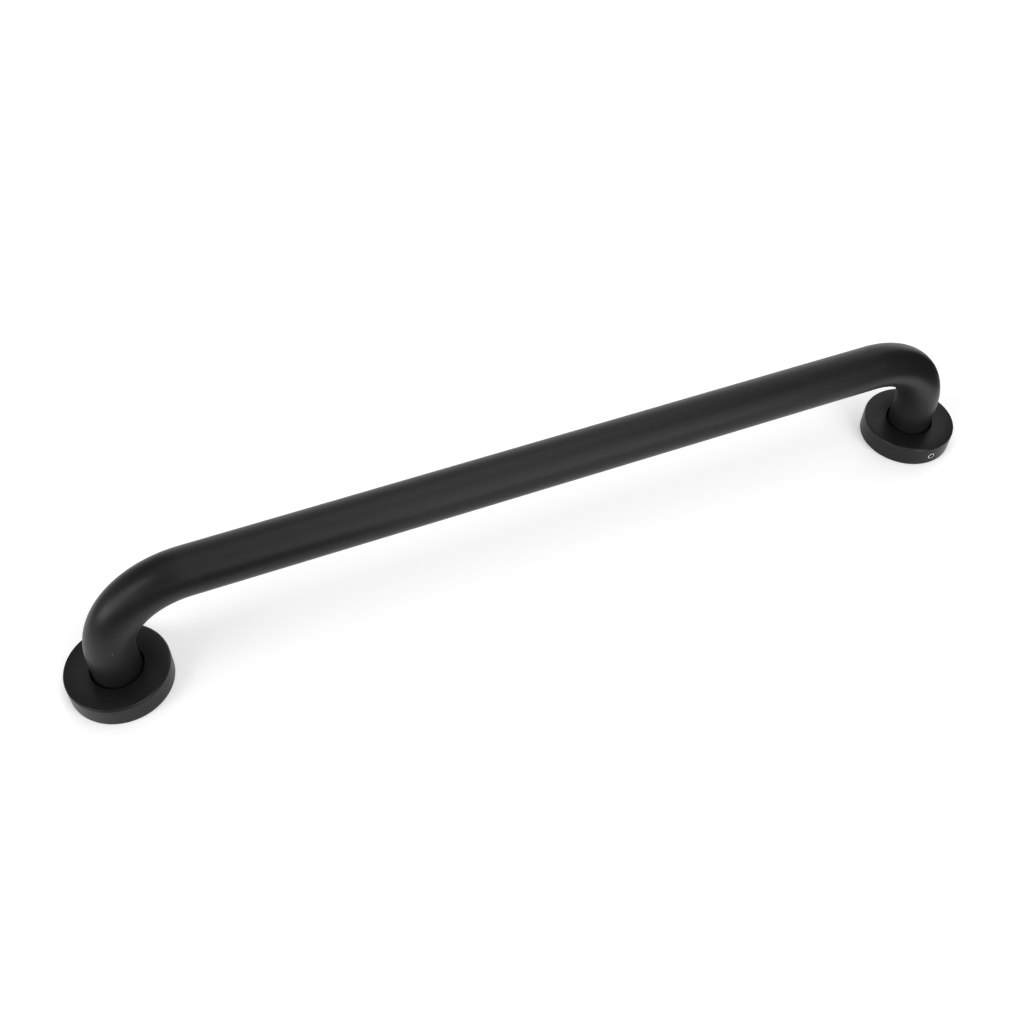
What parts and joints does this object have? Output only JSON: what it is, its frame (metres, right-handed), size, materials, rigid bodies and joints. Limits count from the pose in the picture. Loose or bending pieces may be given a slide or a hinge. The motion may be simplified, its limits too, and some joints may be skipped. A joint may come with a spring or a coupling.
{
  "type": "grab bar",
  "caption": "Wall-mounted grab bar: a round tube bent at its ends into short legs, each with a round screw cover that slides over its welded mounting plate.",
  "frame": {"origin": "on the wall plane, midway between the axes of the two legs", "axes": "+X along the bar, +Z away from the wall, so that the bar stands on its two feet"},
  "size_m": [0.678, 0.068, 0.1047],
  "materials": {
    "black_coating": "satin black coating on stainless steel",
    "black_plate": "matte black coating over a turned steel plate and its weld",
    "bright_steel": "bare stainless steel"
  },
  "bodies": {
    "bar": {"tube": "black_coating", "mounting_plate_left": "black_plate", "mounting_plate_right": "black_plate"},
    "left_cover": {"cover_left": "black_coating", "set_screw_left": "bright_steel"},
    "right_cover": {"cover_right": "black_coating", "set_screw_right": "bright_steel"}
  },
  "joints": [
    {"name": "left_cover_slide", "type": "slide", "parent": "bar", "child": "left_cover", "axis": [0, 0, 1], "range_m": [0, 0.024]},
    {"name": "right_cover_slide", "type": "slide", "parent": "bar", "child": "right_cover", "axis": [0, 0, 1], "range_m": [0, 0.024]}
  ]
}
